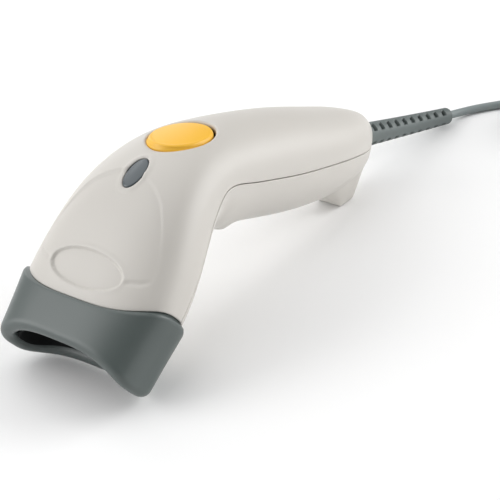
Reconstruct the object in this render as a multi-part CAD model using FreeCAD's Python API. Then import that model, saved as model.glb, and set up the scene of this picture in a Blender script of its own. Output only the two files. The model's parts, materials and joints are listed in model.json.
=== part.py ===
"""Corded handheld barcode scanner, resting on its nose bumper and its rear foot.

Frame: millimetres, +Z up, nose towards -X, cable towards +X, Y across, mirror plane Y = 0.
The origin is below the middle of the scanner, on the surface that it stands on.
"""

import FreeCAD
import Part
import os
from math import atan2, cos, degrees, hypot, pi, radians, sin, tan

V = FreeCAD.Vector
ACROSS = V(0, 1, 0)

# ---------------------------------------------------------------- driving dimensions
# The body's spine: x, z, tilt in degrees, half height, half width of each station.
BODY = [
    (-78.6, 9.6, 38.0, 13.7, 29.2),
    (-66.2, 18.6, 38.0, 14.3, 30.2),
    (-54.4, 27.7, 38.5, 14.9, 30.9),
    (-43.2, 37.0, 39.0, 15.1, 29.8),
    (-30.7, 45.4, 25.0, 15.6, 26.4),
    (-16.1, 47.9, -1.0, 17.1, 23.0),
    (-1.3, 45.2, -15.0, 17.9, 21.2),
    (12.9, 40.5, -19.5, 18.5, 20.4),
    (27.0, 35.4, -20.0, 18.7, 19.8),
    (41.1, 30.4, -18.5, 18.1, 18.9),
    (55.3, 25.9, -16.5, 16.4, 17.4),
    (69.9, 22.3, -15.0, 13.5, 14.0),
    (75.5, 20.9, -15.5, 11.9, 11.7),
    (80.2, 19.7, -16.0, 9.9, 8.6),
    (82.2, 19.1, -16.0, 8.4, 7.1),
]
MIDDLE_X = 0.06         # middle of the scanner's length, which becomes X = 0
HEAD_POWER = 2.7        # superellipse powers of the cross-sections
HANDLE_POWER = 2.35
WALL = 2.2              # housing wall
SEAM_GAP = 0.2

NOSE_X, NOSE_Z, HEAD_TILT = -78.0, 9.0, 38.0
BOOT = [(0.0, 0.0, 15.6, 30.8), (14.0, 0.0, 15.7, 31.2), (30.5, 0.1, 15.5, 31.6)]   # along, lift, half sizes
BOOT_POWER = 3.0
BOOT_JOINT_S, BOOT_JOINT_DIP = 20.7, 7.8     # rear edge of the bumper: middle, and how much further at the sides
LIP_DIP, LIP_LEAN = 5.3, 1.0                 # hollow of the lips, and their backward lean in degrees
MOUTH_HALF_HEIGHT, MOUTH_HALF_WIDTH = 10.6, 26.0
MOUTH_POWER = 3.0
WINDOW_S, WINDOW_THICK = 23.0, 1.5
BOOT_GAP = 0.1

SEAM_REAR, SEAM_BEND = (90.0, 14.2), (-10.6, 49.8)     # parting line of the two housings in the XZ plane
SEAM_NOSE, SEAM_BEND_RADIUS = (-90.0, -0.2), 12.0

BADGE_PLACE, BADGE_LONG, BADGE_WIDE, BADGE_DEPTH = (-62.1, 38.9, 41.5), 6.8, 16.0, 0.5
LENS_PLACE, LENS_LONG, LENS_WIDE = (-33.5, 60.6, 22.4), 6.3, 3.6
BUTTON_PLACE, BUTTON_LONG, BUTTON_WIDE = (-9.6, 64.6, -8.0), 12.4, 11.4
BUTTON_GAP = 0.45
BUTTON_CROWN, BUTTON_CROWN_RADIUS = 0.7, 34.0

BOARD_TILT = -19.0
BOARD_CENTRE = (15.3, 39.2)
BOARD_LONG, BOARD_WIDE, BOARD_THICK = 92.0, 25.0, 1.2

FOOT_HALF_WIDTH = 7.2
FOOT_SOLE = (61.8, 68.0)                                    # front and back
RIDGE_CENTRE, RIDGE_RADIUS, RIDGE_WIDE = (-20.5, 37.0), 6.0, 26.0
PAD_THICK, PAD_PROUD, PAD_MARGIN = 0.8, 0.2, (0.8, 2.6)     # margin of the sole before and beside the pad

ENGINE_S, ENGINE_V = 40.0, -0.8     # scan engine's place along the head, and above its middle line
ENGINE_LONG, ENGINE_WIDE, ENGINE_HIGH = 22.0, 34.0, 15.0
MIRROR_PIN_R, MIRROR_BORE_R = 0.6, 0.64

CABLE_D = 3.2
RELIEF_PATH = [V(84.0, 0, 18.6), V(112.0, 0, 9.6), V(136.6, -3.6, 3.7)]   # quadratic curve's control points
RELIEF_R0, RELIEF_R1 = 4.2, 3.2
COIL_CENTRE = V(164.0, -52.0, 0)
COIL_RADII = [22.4, 19.2, 16.0, 12.8]
COIL_FLOOR = 0.9                     # the tie under the coil lifts it
COIL_START, COIL_END = 47.0, -5.0    # degrees, wound clockwise
LEAD_POINTS = [
    V(143.2, -4.7, 2.25),
    V(150.0, -8.2, 1.75),
    V(156.8, -14.4, 1.65),
    V(164.6, -22.4, 1.7),
    V(172.6, -29.5, 2.1),
]
TAIL_ANGLES = [(-25.0, 24.2, 11.4), (-45.0, 27.0, 8.8), (-61.0, 30.0, 6.2), (-75.4, 32.4, 4.5), (-90.2, 33.4, 3.95)]
PLUG_ANGLE, PLUG_RADIUS, PLUG_Z = -105.0, 32.6, 3.85


# ---------------------------------------------------------------- helpers
def along(tilt):
    return V(cos(radians(tilt)), 0, sin(radians(tilt)))


def normal(tilt):
    return V(-sin(radians(tilt)), 0, cos(radians(tilt)))


def local_box(centre, tilt, size, shift=(0, 0, 0)):
    """Box centred at a point, with its sides along the tilted axes, moved by a local shift."""
    lx, ly, lz = size
    box = Part.makeBox(lx, ly, lz, V(shift[0] - lx / 2, shift[1] - ly / 2, shift[2] - lz / 2))
    return place(box, centre, tilt)


def place(shape, centre, tilt):
    turn = FreeCAD.Rotation(ACROSS, -tilt)
    return shape.transformGeometry(FreeCAD.Placement(centre, turn).toMatrix())


def move(shape, centre, tilt):
    """Rigid move of a shape made about the origin into the tilted place."""
    done = shape.copy()
    done.Placement = FreeCAD.Placement(centre, FreeCAD.Rotation(ACROSS, -tilt)).multiply(done.Placement)
    return done


def rod(radius, start, end):
    axis = end - start
    return Part.makeCylinder(radius, axis.Length, start, axis)


def oval_prism(half_x, half_y, low, high):
    """Elliptical prism about the local Z axis."""
    if half_x >= half_y:
        edge = Part.Ellipse(V(0, 0, low), half_x, half_y).toShape()
    else:
        edge = Part.Ellipse(V(0, half_y, low), V(half_x, 0, low), V(0, 0, low)).toShape()
    return Part.Face(Part.Wire(edge)).extrude(V(0, 0, high - low))


def superellipse(centre, tilt, half_height, half_width, power, count=28):
    """Closed smooth wire across the spine."""
    points = []
    for k in range(count):
        angle = 2 * pi * k / count
        c, s = cos(angle), sin(angle)
        y = half_width * (1 if c > 0 else -1) * abs(c) ** (2 / power)
        v = half_height * (1 if s > 0 else -1) * abs(s) ** (2 / power)
        points.append(centre + ACROSS * y + normal(tilt) * v)
    curve = Part.BSplineCurve()
    curve.interpolate(Points=points, PeriodicFlag=True)
    return Part.Wire(curve.toShape())


def power_at(x):
    blend = min(1.0, max(0.0, (x + 40.0) / 50.0))
    return HEAD_POWER + (HANDLE_POWER - HEAD_POWER) * blend


def body_loft(grow, stations=BODY):
    """The scanner's smooth outer form, grown or shrunk all round."""
    wires = []
    for x, z, tilt, high, wide in stations:
        wires.append(superellipse(V(x, 0, z), tilt, high + grow, wide + grow, power_at(x)))
    return Part.makeLoft(wires, True, False)


def head_point(s, v=0.0, y=0.0):
    return V(NOSE_X, y, NOSE_Z) + along(HEAD_TILT) * s + normal(HEAD_TILT) * v


def head_loft(sections, power):
    wires = []
    for s, lift, high, wide in sections:
        wires.append(superellipse(head_point(s, lift), HEAD_TILT, high, wide, power))
    return Part.makeLoft(wires, True, False)


def dish_radius(dip, half_width):
    return (half_width ** 2 + dip ** 2) / (2 * dip)


def above_seam(drop=0.0):
    """Everything above the parting line, which may be lowered."""
    (xr, zr), (xb, zb), (xn, zn) = SEAM_REAR, SEAM_BEND, SEAM_NOSE
    corner = V(xb, -60, zb - drop)
    to_rear = (V(xr, -60, zr - drop) - corner).normalize()
    to_nose = (V(xn, -60, zn - drop) - corner).normalize()
    half = to_rear.getAngle(to_nose) / 2
    reach = SEAM_BEND_RADIUS / tan(half)
    middle = (to_rear + to_nose).normalize()
    centre = corner + middle * (SEAM_BEND_RADIUS / sin(half))
    first, last = corner + to_rear * reach, corner + to_nose * reach
    top = centre - middle * SEAM_BEND_RADIUS
    rear, nose = V(xr, -60, zr - drop), V(xn, -60, zn - drop)
    high_rear, high_nose = V(xr, -60, 90), V(xn, -60, 90)
    edges = [
        Part.LineSegment(rear, first).toShape(),
        Part.Arc(first, top, last).toShape(),
        Part.LineSegment(last, nose).toShape(),
        Part.LineSegment(nose, high_nose).toShape(),
        Part.LineSegment(high_nose, high_rear).toShape(),
        Part.LineSegment(high_rear, rear).toShape(),
    ]
    return Part.Face(Part.Wire(edges)).extrude(V(0, 120, 0))


def joint_cylinder(gap=0.0):
    """Round wall between the bumper and the housings, standing across the head."""
    radius = dish_radius(BOOT_JOINT_DIP, BOOT[2][3])
    centre = head_point(BOOT_JOINT_S + radius, -130)
    return Part.makeCylinder(radius - gap, 230, centre, normal(HEAD_TILT))


def save(name, shape):
    shape = shape.translated(V(-MIDDLE_X, 0, 0))
    solids = shape.Solids
    assert solids and all(s.isValid() for s in solids), name
    shape.exportStep("parts/" + name + ".step")
    print(f"{name:22s} solids {len(solids):2d}  volume {shape.Volume:10.1f}")


# ---------------------------------------------------------------- housings
def foot_block():
    """Fin under the end of the handle that the scanner stands on."""
    front, back = FOOT_SOLE
    points = [
        V(50.0, 0, 16.0), V(50.5, 0, 10.5), V(57.0, 0, 6.4), V(front, 0, PAD_PROUD),
        V(back, 0, PAD_PROUD), V(72.0, 0, 9.4), V(76.0, 0, 16.4),
    ]
    edges = [Part.LineSegment(a, b).toShape() for a, b in zip(points, points[1:] + points[:1])]
    fin = Part.Face(Part.Wire(edges)).extrude(V(0, 2 * FOOT_HALF_WIDTH, 0))
    fin.translate(V(0, -FOOT_HALF_WIDTH, 0))
    return fin


def finger_ridge():
    """Ridge under the bend that the finger hooks round."""
    start = V(RIDGE_CENTRE[0], -RIDGE_WIDE / 2, RIDGE_CENTRE[1])
    return Part.makeCylinder(RIDGE_RADIUS, RIDGE_WIDE, start, ACROSS)


# Housing screws: x, y, z at the seam, tilt, reach below the seam. Board screws: along and across the board.
SCREWS = [
    (-31.5, -15.0, 41.5, 24.0, 11.0),
    (-31.5, 15.0, 41.5, 24.0, 11.0),
    (44.0, 0.0, 28.0, -18.0, 15.0),
]
BOARD_SCREWS = [(-22.0, -9.0), (-22.0, 9.0)]
POST_R, POST_HOLE_R, SCREW_R = 3.2, 1.1, 1.25
BOARD_BOSS_R, BOARD_SCREW_R, BOARD_SCREW_LONG = 2.6, 0.8, 6.0
HEAD_R, HEAD_HIGH = 2.4, 1.8


def screw_axis(screw):
    x, y, z, tilt, reach = screw
    return V(x, y, z), normal(tilt), reach


def housings():
    outer = body_loft(0.0)
    inner = body_loft(-WALL, BODY[:-1])
    front = joint_cylinder()
    upper_half = above_seam()
    lower_cut = above_seam(SEAM_GAP)
    shell = outer.cut(inner).common(front)
    upper = shell.common(upper_half)
    for screw in SCREWS:
        centre, up, _ = screw_axis(screw)
        post = rod(POST_R, centre + up * 0.3, centre + up * 30).common(body_loft(-WALL / 2)).common(front)
        upper = upper.fuse(post)
    for screw in SCREWS:
        centre, up, _ = screw_axis(screw)
        upper = upper.cut(rod(POST_HOLE_R, centre - up * 1, centre + up * 7))
    upper = upper.cut(button_opening()).cut(lens_opening(0.12))
    upper = upper.cut(badge_prism().cut(body_loft(-BADGE_DEPTH)))
    upper = upper.cut(relief_hole())

    lower = shell.fuse(foot_block().cut(body_loft(-WALL / 2)))
    lower = lower.fuse(finger_ridge().common(below_belly()))
    lower = lower.cut(lower_cut)
    for screw in SCREWS:
        centre, up, reach = screw_axis(screw)
        boss = rod(POST_R, centre - up * (reach + 4), centre).common(body_loft(-WALL / 2))
        lower = lower.fuse(boss)
    for along_board, across_board in BOARD_SCREWS:
        foot = board_point(along_board, across_board, -BOARD_THICK / 2)
        boss = rod(BOARD_BOSS_R, foot - normal(BOARD_TILT) * 22, foot).common(body_loft(-WALL / 2))
        lower = lower.fuse(boss)
    for screw in SCREWS:
        centre, up, reach = screw_axis(screw)
        lower = lower.cut(rod(SCREW_R + 0.15, centre - up * (reach + 12), centre + up * 2))
        lower = lower.cut(rod(HEAD_R + 0.4, centre - up * (reach + 20), centre - up * (reach - HEAD_HIGH)))
    for along_board, across_board in BOARD_SCREWS:
        foot = board_point(along_board, across_board, -BOARD_THICK / 2)
        lower = lower.cut(rod(BOARD_SCREW_R, foot - normal(BOARD_TILT) * BOARD_SCREW_LONG, foot + normal(BOARD_TILT)))
    lower = lower.cut(relief_hole()).cut(foot_pad())
    return biggest(upper), biggest(lower)


def below_belly():
    """Limits the ridge to what stands out of the belly."""
    return Part.makeBox(40, 40, 30, V(-40, -20, 20)).cut(body_loft(-WALL / 2))


def biggest(shape):
    return max(shape.Solids, key=lambda solid: solid.Volume)


def badge_prism():
    x, z, tilt = BADGE_PLACE
    return move(oval_prism(BADGE_LONG, BADGE_WIDE, -4, 4), V(x, 0, z), tilt)


def lens_opening(gap):
    x, z, tilt = LENS_PLACE
    return move(oval_prism(LENS_LONG + gap, LENS_WIDE + gap, -6, 4), V(x, 0, z), tilt)


def button_opening():
    x, z, _ = BUTTON_PLACE
    return move(oval_prism(BUTTON_LONG, BUTTON_WIDE, -9, 8), V(x, 0, z), BOARD_TILT)


def relief_hole():
    return rod(RELIEF_R0 + 0.15, V(74.0, 0, 21.6), V(92.0, 0, 16.0))


# ---------------------------------------------------------------- bumper, window
def tunnel(start, end, half_height, half_width):
    """Straight prism along the head."""
    return head_loft([(start, 0, half_height, half_width), (end, 0, half_height, half_width)], MOUTH_POWER)


def nose_bumper():
    outer = head_loft(BOOT, BOOT_POWER)
    joint = joint_cylinder(-BOOT_GAP)
    lip_radius = dish_radius(LIP_DIP, BOOT[0][3])
    lean = HEAD_TILT + LIP_LEAN
    lip_centre = head_point(LIP_DIP - lip_radius) - normal(lean) * 50
    lips = Part.makeCylinder(lip_radius, 100, lip_centre, normal(lean))
    mouth = tunnel(-6, 33, MOUTH_HALF_HEIGHT, MOUTH_HALF_WIDTH)
    seat = tunnel(WINDOW_S - 0.1, 33, 11.15, 26.95)
    below_floor = Part.makeBox(200, 100, 20, V(-150, -50, -20))
    boot = outer.cut(joint).cut(lips).cut(mouth).cut(seat).cut(below_floor)
    return biggest(boot)


def window_plate():
    return tunnel(WINDOW_S, WINDOW_S + WINDOW_THICK, 10.9, 26.6)


def window_gasket():
    front = WINDOW_S + WINDOW_THICK + 0.1
    return tunnel(front, front + 1.6, 11.0, 26.8).cut(tunnel(front - 1, front + 3, 8.6, 22.4))


# ---------------------------------------------------------------- trigger and status lens
def button_axis():
    return normal(BOARD_TILT)


def trigger_button():
    x, z, tilt = BUTTON_PLACE
    top = V(x, 0, z)
    half_x, half_y = BUTTON_LONG - BUTTON_GAP, BUTTON_WIDE - BUTTON_GAP
    prism = move(oval_prism(half_x, half_y, -7.6, 8), top, BOARD_TILT)
    hollow = move(oval_prism(half_x - 1.6, half_y - 1.6, -12, -3.4), top, BOARD_TILT)
    crown_centre = top + normal(tilt) * (BUTTON_CROWN - BUTTON_CROWN_RADIUS)
    crown = Part.makeSphere(BUTTON_CROWN_RADIUS, crown_centre)
    flange = move(oval_prism(half_x + 1.3, half_y + 1.3, -8.6, -7.6), top, BOARD_TILT)
    flange = flange.cut(move(oval_prism(half_x - 1.6, half_y - 1.6, -9, -7), top, BOARD_TILT))
    flange = flange.cut(local_box(top, BOARD_TILT, (12, 40, 40), (-11, 0, 0)))
    switch_top = switch_spot() + button_axis() * SWITCH_TOP
    post = rod(2.4, switch_top, switch_top + button_axis() * 12).common(crown)
    return prism.common(crown).cut(hollow).fuse(flange).fuse(post)


def status_lens():
    x, z, tilt = LENS_PLACE
    head = move(oval_prism(LENS_LONG, LENS_WIDE, -3.0, 3.0), V(x, 0, z), tilt).common(body_loft(0.35))
    flange = move(oval_prism(LENS_LONG + 1.0, LENS_WIDE + 1.0, -4.0, -2.9), V(x, 0, z), tilt)
    led_top = board_point(-BOARD_LONG / 2 + 4.0, 0, BOARD_THICK / 2 + 3.5)
    pipe = rod(1.5, led_top, V(x, 0, z) - normal(tilt) * 3.0 + along(tilt) * 2.0)
    return head.fuse(flange).fuse(pipe)


# ---------------------------------------------------------------- main board
SWITCH_HIGH, PLUNGER_HIGH = 3.2, 1.8
SWITCH_TOP = BOARD_THICK / 2 + SWITCH_HIGH + PLUNGER_HIGH


def board_point(a, y, v=0.0):
    x, z = BOARD_CENTRE
    return V(x, y, z) + along(BOARD_TILT) * a + normal(BOARD_TILT) * v


def switch_spot():
    """Point of the board's middle plane below the button, along the button's travel."""
    x, z, _ = BUTTON_PLACE
    offset = V(x, 0, z) - V(BOARD_CENTRE[0], 0, BOARD_CENTRE[1])
    return board_point(offset.dot(along(BOARD_TILT)), 0)


def on_board(a, y, size, lift=0.0):
    """Block that stands on the board."""
    return local_box(board_point(a, y, BOARD_THICK / 2 + lift + size[2] / 2), BOARD_TILT, size)


def main_board():
    board = local_box(board_point(0, 0), BOARD_TILT, (BOARD_LONG, BOARD_WIDE, BOARD_THICK))
    for screw in SCREWS[2:]:
        centre, up, _ = screw_axis(screw)
        board = board.cut(rod(POST_R + 0.6, centre - up * 12, centre + up * 20))
    for a, y in BOARD_SCREWS:
        board = board.cut(rod(1.1, board_point(a, y, -3), board_point(a, y, 3)))
    return board


def trigger_switch():
    spot = switch_spot()
    body = local_box(spot + button_axis() * (BOARD_THICK / 2 + SWITCH_HIGH / 2), BOARD_TILT, (6.2, 6.2, SWITCH_HIGH))
    well = rod(1.8, spot + button_axis() * (SWITCH_TOP - PLUNGER_HIGH - 1.6), spot + button_axis() * SWITCH_TOP)
    return body.cut(well)


def switch_plunger():
    spot = switch_spot()
    return rod(1.75, spot + button_axis() * (SWITCH_TOP - PLUNGER_HIGH - 0.5), spot + button_axis() * SWITCH_TOP)


def beeper():
    spot = board_point(10.0, 0, BOARD_THICK / 2)
    can = rod(5.0, spot, spot + normal(BOARD_TILT) * 5.0)
    return can.cut(rod(1.0, spot + normal(BOARD_TILT) * 2, spot + normal(BOARD_TILT) * 7))


# ---------------------------------------------------------------- cable jack and plug
JACK_A = 55.5


def cable_jack():
    block = local_box(board_point(JACK_A, 0, -0.4), BOARD_TILT, (13.0, 13.0, 9.4))
    slot = local_box(board_point(JACK_A + 2.0, 0, -0.4), BOARD_TILT, (12.0, 10.2, 6.8))
    return block.cut(slot)


def modular_plug():
    plug = local_box(board_point(JACK_A + 2.4, 0, -0.4), BOARD_TILT, (10.8, 9.8, 6.2))
    latch = local_box(board_point(JACK_A + 2.4, 0, 2.75), BOARD_TILT, (8.0, 3.0, 0.3))
    return plug.fuse(latch)


# ---------------------------------------------------------------- scan engine
def engine_point(s, y, v):
    return head_point(ENGINE_S + s, ENGINE_V + v, y)


def engine_box(size, s=0.0, y=0.0, v=0.0):
    return local_box(engine_point(s, y, v), HEAD_TILT, size)


def engine_chassis():
    half_long, half_wide, half_high = ENGINE_LONG / 2, ENGINE_WIDE / 2, ENGINE_HIGH / 2
    base = engine_box((ENGINE_LONG, ENGINE_WIDE, 1.6), v=-half_high + 0.8)
    left = engine_box((ENGINE_LONG, 1.6, ENGINE_HIGH), y=-half_wide + 0.8)
    right = engine_box((ENGINE_LONG, 1.6, ENGINE_HIGH), y=half_wide - 0.8)
    back = engine_box((1.6, ENGINE_WIDE, ENGINE_HIGH), s=half_long - 0.8)
    post = engine_box((5.0, 5.0, 2.0), s=0.0, y=3.0, v=-half_high + 2.4)
    chassis = base.fuse(left).fuse(right).fuse(back).fuse(post)
    for y in (-half_wide + 4.5, half_wide - 4.5):
        hole = rod(1.5, engine_point(half_long - 4.5, y, -half_high - 1), engine_point(half_long - 4.5, y, -half_high + 3))
        chassis = chassis.cut(hole)
    pin = rod(MIRROR_PIN_R, engine_point(0, 3.0, -half_high), engine_point(0, 3.0, half_high))
    return chassis.cut(pin)


def mirror_parts():
    """Mirror, its magnet and the pin that they swing on; the pin stands in the chassis post."""
    high = ENGINE_HIGH / 2
    bore = rod(MIRROR_BORE_R, engine_point(0, 3.0, -high - 2), engine_point(0, 3.0, high + 2))
    hub = rod(1.3, engine_point(0, 3.0, -3.6), engine_point(0, 3.0, 4.6))
    plate = engine_box((0.9, 8.0, 7.4), s=-1.6, y=3.0, v=0.5)
    mirror = plate.fuse(hub).cut(bore)
    magnet = engine_box((2.2, 4.0, 3.4), s=2.3, y=3.0, v=0.5).cut(bore).cut(hub)
    pin = rod(MIRROR_PIN_R, engine_point(0, 3.0, -high), engine_point(0, 3.0, high - 1.6))
    return mirror, magnet, pin


def drive_coil():
    start, end = engine_point(5.4, 3.0, 0.5), engine_point(8.6, 3.0, 0.5)
    return rod(3.9, start, end).cut(rod(2.0, start - along(HEAD_TILT), end + along(HEAD_TILT)))


def laser_parts():
    start, end = engine_point(-8.0, -11.6, 0.4), engine_point(3.0, -11.6, 0.4)
    axis = along(HEAD_TILT)
    barrel = rod(2.9, start, end).cut(rod(2.1, start - axis, start + axis * 3.0))
    lens = rod(2.05, start + axis * 0.6, start + axis * 2.2)
    can = rod(2.4, end, end + axis * 3.4)
    return barrel, lens, can


def collecting_mirror():
    block = engine_box((4.0, 7.6, 10.4), s=4.4, y=11.0, v=1.5)
    bowl = Part.makeSphere(22.0, engine_point(-18.4, 9.6, 1.5))
    return block.cut(bowl)


def photodiode_parts():
    diode = engine_box((2.0, 5.0, 5.0), s=-1.0, y=-4.8, v=1.4)
    window = engine_box((0.8, 5.6, 5.6), s=-2.5, y=-4.8, v=1.4)
    return diode, window


def engine_board():
    return engine_box((ENGINE_LONG, ENGINE_WIDE - 4.0, 1.0), v=-ENGINE_HIGH / 2 - 1.1)


def engine_screws():
    half_long, half_wide, half_high = ENGINE_LONG / 2, ENGINE_WIDE / 2, ENGINE_HIGH / 2
    screws = []
    for y in (-half_wide + 4.5, half_wide - 4.5):
        head_low = engine_point(half_long - 4.5, y, -half_high + 1.7)
        head = rod(2.3, head_low, head_low + normal(HEAD_TILT) * 1.4)
        shank = rod(1.2, engine_point(half_long - 4.5, y, -half_high - 0.5), head_low)
        screws.append(head.fuse(shank))
    return Part.makeCompound(screws)


def ribbon_cable():
    """Flat ribbon, pulled straight, from the engine board to the main board."""
    start = engine_point(ENGINE_LONG / 2 + 0.2, 0, -ENGINE_HIGH / 2 - 1.1)
    end = board_point(-BOARD_LONG / 2 - 0.4, 0, 0)
    span = end - start
    tilt = degrees(atan2(span.z, span.x))
    return local_box((start + end) * 0.5, tilt, (hypot(span.x, span.z), 9.0, 0.4))


# ---------------------------------------------------------------- fasteners and pad
def housing_screws():
    screws = []
    for screw in SCREWS:
        centre, up, reach = screw_axis(screw)
        seat = centre - up * (reach - HEAD_HIGH)
        head = rod(HEAD_R, seat - up * HEAD_HIGH, seat)
        cross = local_box(seat - up * HEAD_HIGH, screw[3], (2.4, 0.6, 1.4))
        cross = cross.fuse(local_box(seat - up * HEAD_HIGH, screw[3], (0.6, 2.4, 1.4)))
        shank = rod(POST_HOLE_R, seat, centre + up * 5.5)
        screws.append(head.cut(cross).fuse(shank))
    return Part.makeCompound(screws)


def board_screws():
    screws = []
    up = normal(BOARD_TILT)
    for a, y in BOARD_SCREWS:
        seat = board_point(a, y, BOARD_THICK / 2)
        screws.append(rod(1.9, seat, seat + up * 1.2).fuse(rod(BOARD_SCREW_R, seat - up * BOARD_SCREW_LONG, seat)))
    return Part.makeCompound(screws)


def foot_pad():
    """Small pad, most of its thickness sunk into the foot's sole."""
    front, back = FOOT_SOLE
    before, beside = PAD_MARGIN
    half_width = FOOT_HALF_WIDTH - beside
    return Part.makeBox(back - front - 2 * before, 2 * half_width, PAD_THICK, V(front + before, -half_width, 0))


# ---------------------------------------------------------------- cable
def bezier(points, t):
    a, b, c = points
    return a * (1 - t) ** 2 + b * (2 * t * (1 - t)) + c * t ** 2


def bezier_direction(points, t):
    a, b, c = points
    return ((b - a) * (1 - t) + (c - b) * t).normalize()


def strain_relief():
    """Tapered sleeve, a little bent where it nears the surface that the scanner lies on."""
    wires = []
    for k in range(7):
        t = k / 6
        radius = RELIEF_R0 + (RELIEF_R1 - RELIEF_R0) * t
        circle = Part.Circle(bezier(RELIEF_PATH, t), bezier_direction(RELIEF_PATH, t), radius)
        wires.append(Part.Wire(circle.toShape()))
    sleeve = Part.makeLoft(wires, True, False)
    start = bezier(RELIEF_PATH, 0)
    neck = rod(RELIEF_R0 - 0.2, V(77.4, 0, 20.7), start + bezier_direction(RELIEF_PATH, 0) * 0.5)
    return sleeve.fuse(neck)


def coil_point(angle, radius, z):
    return COIL_CENTRE + V(radius * cos(radians(angle)), radius * sin(radians(angle)), z)


def rounded_path(points):
    """Straight runs joined by tangent arcs that are as large as the runs allow."""
    edges = []
    here = points[0]
    smallest = 1e9
    for before, corner, after in zip(points, points[1:], points[2:]):
        back, ahead = (before - corner), (after - corner)
        run = min(back.Length, ahead.Length)
        back.normalize()
        ahead.normalize()
        half_turn = (pi - back.getAngle(ahead)) / 2
        radius = 0.45 * run / tan(half_turn)
        smallest = min(smallest, radius)
        first, last = corner + back * (0.45 * run), corner + ahead * (0.45 * run)
        middle_way = (back + ahead).normalize()
        centre = corner + middle_way * (radius / cos(half_turn))
        edges.append(Part.LineSegment(here, first).toShape())
        edges.append(Part.Arc(first, centre - middle_way * radius, last).toShape())
        here = last
        print(f"  arc radius {radius:6.1f} mm, turn {degrees(2 * half_turn):5.1f} degrees")
    edges.append(Part.LineSegment(here, points[-1]).toShape())
    return Part.Wire(edges), smallest


def tube(points):
    path, smallest = rounded_path(points)
    direction = points[1] - points[0]
    section = Part.Wire(Part.Circle(points[0], direction, CABLE_D / 2).toShape())
    solid = path.makePipeShell([section], True, False)
    expected = pi * (CABLE_D / 2) ** 2 * path.Length
    print(f"tube length {path.Length:.1f} mm, volume ratio {solid.Volume / expected:.4f}, smallest radius {smallest:.1f}")
    return solid


def cable_pieces():
    ring_in, ring_out = COIL_RADII[-1] - CABLE_D / 2 - 0.2, COIL_RADII[0] + CABLE_D / 2 + 0.2
    high = CABLE_D * len(COIL_RADII)
    ring = Part.makeCylinder(ring_out, high, COIL_CENTRE + V(0, 0, COIL_FLOOR))
    ring = ring.cut(Part.makeCylinder(ring_in, high + 2, COIL_CENTRE))
    low, top = COIL_FLOOR + CABLE_D / 2, COIL_FLOOR + high - CABLE_D / 2
    lead_points = [bezier(RELIEF_PATH, 1)] + LEAD_POINTS
    lead_points += [coil_point(COIL_START, COIL_RADII[0], low), coil_point(COIL_START - 20, COIL_RADII[0] - 0.5, low)]
    lead = tube(lead_points)
    tail_points = [coil_point(COIL_END + 20, COIL_RADII[0], top), coil_point(COIL_END, COIL_RADII[0] + 0.4, top)]
    tail_points += [coil_point(*spot) for spot in TAIL_ANGLES]
    tail_points.append(coil_point(PLUG_ANGLE, PLUG_RADIUS, PLUG_Z))
    tail = tube(tail_points)
    turns = len(COIL_RADII) ** 2
    wound = turns * 2 * pi * sum(COIL_RADII) / len(COIL_RADII)
    print(f"coil: {turns} turns, {wound:.0f} mm of cable")
    return lead, ring, tail


def cable_tie():
    """Flat strap round the coil at one place."""
    ring_in, ring_out = COIL_RADII[-1] - CABLE_D / 2 - 0.2, COIL_RADII[0] + CABLE_D / 2 + 0.2
    high = CABLE_D * len(COIL_RADII)
    strap, gap, slack = 0.8, 0.1, 0.35
    wide = ring_out - ring_in + 2 * slack
    tall = high + 2 * gap
    corner = V(ring_in - slack, -2.0, COIL_FLOOR - gap)
    outer = Part.makeBox(wide + 2 * strap, 4.0, tall + 2 * strap, corner - V(strap, 0, strap))
    hole = Part.makeBox(wide, 6.0, tall, corner - V(0, 1, 0))
    band = outer.cut(hole)
    band.rotate(V(0, 0, 0), V(0, 0, 1), -150)
    band.translate(COIL_CENTRE)
    return band


def usb_plug():
    start = coil_point(PLUG_ANGLE, PLUG_RADIUS, PLUG_Z)
    heading = PLUG_ANGLE - 90
    neck = Part.makeCone(2.4, 3.2, 6.0, V(0, 0, 0), V(1, 0, 0))
    grip = Part.makeBox(19.0, 14.0, 7.4, V(6.0, -7.0, -3.7))
    grip = grip.makeFillet(1.6, [e for e in grip.Edges if abs(e.tangentAt(e.FirstParameter).x) > 0.9])
    shell = Part.makeBox(12.0, 12.0, 4.5, V(25.0, -6.0, -2.25)).cut(Part.makeBox(12.0, 11.4, 3.9, V(25.6, -5.7, -1.95)))
    tongue = Part.makeBox(9.6, 11.2, 1.7, V(25.6, -5.6, -0.1))
    pieces = []
    for piece in (neck.fuse(grip), shell, tongue):
        piece = piece.copy()
        piece.rotate(V(0, 0, 0), V(0, 0, 1), heading)
        piece.translate(start)
        pieces.append(piece)
    return pieces


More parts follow.
